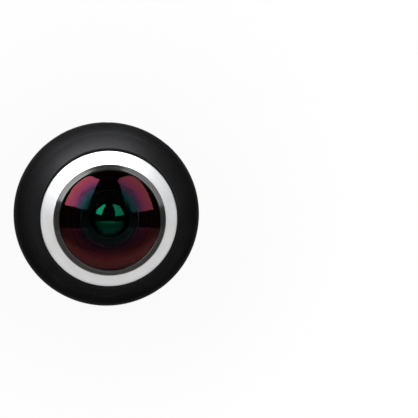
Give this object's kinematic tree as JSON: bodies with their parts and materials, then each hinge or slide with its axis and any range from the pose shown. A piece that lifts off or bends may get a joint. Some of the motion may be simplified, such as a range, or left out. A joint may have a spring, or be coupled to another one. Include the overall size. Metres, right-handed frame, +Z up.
{
  "type": "360 degree camera",
  "caption": "Ball-shaped 360 degree camera with a domed fisheye lens on top, a silver lens ring, a side key panel, a hinged socket door and a tripod socket.",
  "frame": {"origin": "centre of the flat base, where the lens axis meets the surface that the camera stands on", "axes": "+Z up along the lens axis, out of the dome; -Y out of the key panel; +Y out of the socket door"},
  "size_m": [0.06, 0.06, 0.0583],
  "materials": {
    "shell_black": "satin, fine grain",
    "panel_black": "satin",
    "key_black": "satin with a printed grey sign",
    "door_black": "matte",
    "ring_silver": "bead-blasted, bright",
    "bezel_grey": "dark anodised, satin",
    "dome_glass": "polished with a coloured coating",
    "inner_glass": "polished with a green coating",
    "filter_glass": "polished",
    "barrel_black": "black anodised",
    "stop_black": "matte black",
    "seal_rubber": "matte",
    "sensor_dark": "glossy",
    "board_green": "solder mask",
    "chip_black": "matte",
    "can_steel": "tinned",
    "screw_steel": "plated",
    "plunger_red": "matte",
    "light_grey": "translucent",
    "led_cream": "glossy",
    "mic_brass": "plated",
    "frame_grey": "moulded",
    "battery_silver": "foil pouch",
    "lead_red": "insulated wire",
    "flex_amber": "polyimide film",
    "nut_brass": "turned"
  },
  "bodies": {
    "camera": {"upper_shell": "shell_black", "lower_shell": "shell_black", "lens_ring": "ring_silver", "lens_bezel": "bezel_grey", "front_lens": "dome_glass", "lens_seal": "seal_rubber", "lens_barrel": "barrel_black", "inner_retainer": "barrel_black", "second_lens": "inner_glass", "third_lens": "inner_glass", "aperture_stop": "stop_black", "rear_lens": "inner_glass", "lens_holder": "chip_black", "ir_filter": "filter_glass", "image_sensor": "sensor_dark", "sensor_board": "board_green", "sensor_screws": "screw_steel", "barrel_screws": "screw_steel", "control_panel": "panel_black", "power_switch": "chip_black", "mode_switch": "chip_black", "switch_boards": "board_green", "light_pipes": "light_grey", "indicator_leds": "led_cream", "indicator_board": "board_green", "indicator_screws": "screw_steel", "microphone": "mic_brass", "mic_seal": "seal_rubber", "inner_frame": "frame_grey", "battery": "battery_silver", "battery_leads": "lead_red", "main_board": "board_green", "board_chips": "chip_black", "wifi_module": "can_steel", "buzzer": "chip_black", "usb_socket": "can_steel", "card_slot": "can_steel", "sensor_flex": "flex_amber", "frame_screws": "screw_steel", "base_screws": "screw_steel", "tripod_nut": "nut_brass", "foot_pad": "seal_rubber", "port_frame": "panel_black", "cover_pin": "screw_steel"},
    "power_key": {"power_button": "key_black", "power_plunger": "plunger_red"},
    "mode_key": {"mode_button": "key_black", "mode_plunger": "plunger_red"},
    "door": {"port_cover": "door_black"}
  },
  "joints": [
    {"name": "power_press", "type": "slide", "parent": "camera", "child": "power_key", "axis": [0.4573, 0.8893, 0], "range_m": [0, 0.0005], "stiffness_N_per_m": 1000, "springref_m": -0.0003},
    {"name": "mode_press", "type": "slide", "parent": "camera", "child": "mode_key", "axis": [-0.4573, 0.8893, 0], "range_m": [0, 0.0005], "stiffness_N_per_m": 1000, "springref_m": -0.0003},
    {"name": "door_hinge", "type": "hinge", "parent": "camera", "child": "door", "pos_m": [0, 0.02825, 0.01942], "axis": [-1, 0, 0], "range_deg": [0, 90]}
  ]
}
